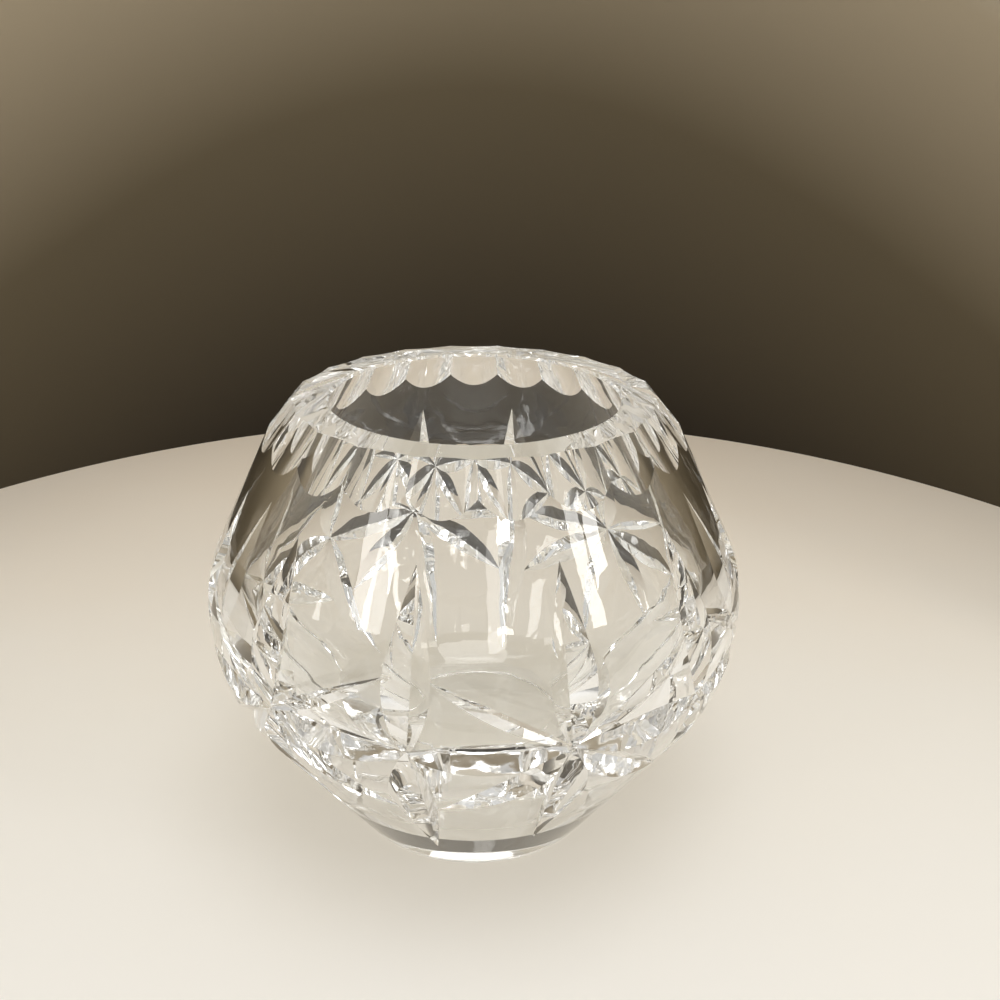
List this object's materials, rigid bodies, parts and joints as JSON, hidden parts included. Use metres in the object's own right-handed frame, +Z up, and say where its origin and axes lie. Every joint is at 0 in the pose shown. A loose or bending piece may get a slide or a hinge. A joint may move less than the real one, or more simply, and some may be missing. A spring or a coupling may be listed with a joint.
{
  "type": "rose bowl vase",
  "caption": "Round clear cut-glass rose bowl with a narrow ground mouth, flutes under the lip and a band of cut stars.",
  "frame": {"origin": "centre of the circle that the foot stands on, on the table plane", "axes": "+Z up along the bowl's axis; -Y towards the viewer of the picture; +X to the viewer's right"},
  "size_m": [0.114, 0.114, 0.097],
  "materials": {
    "crystal": "polished"
  },
  "bodies": {
    "root": {"glass_bowl": "crystal"}
  },
  "joints": []
}
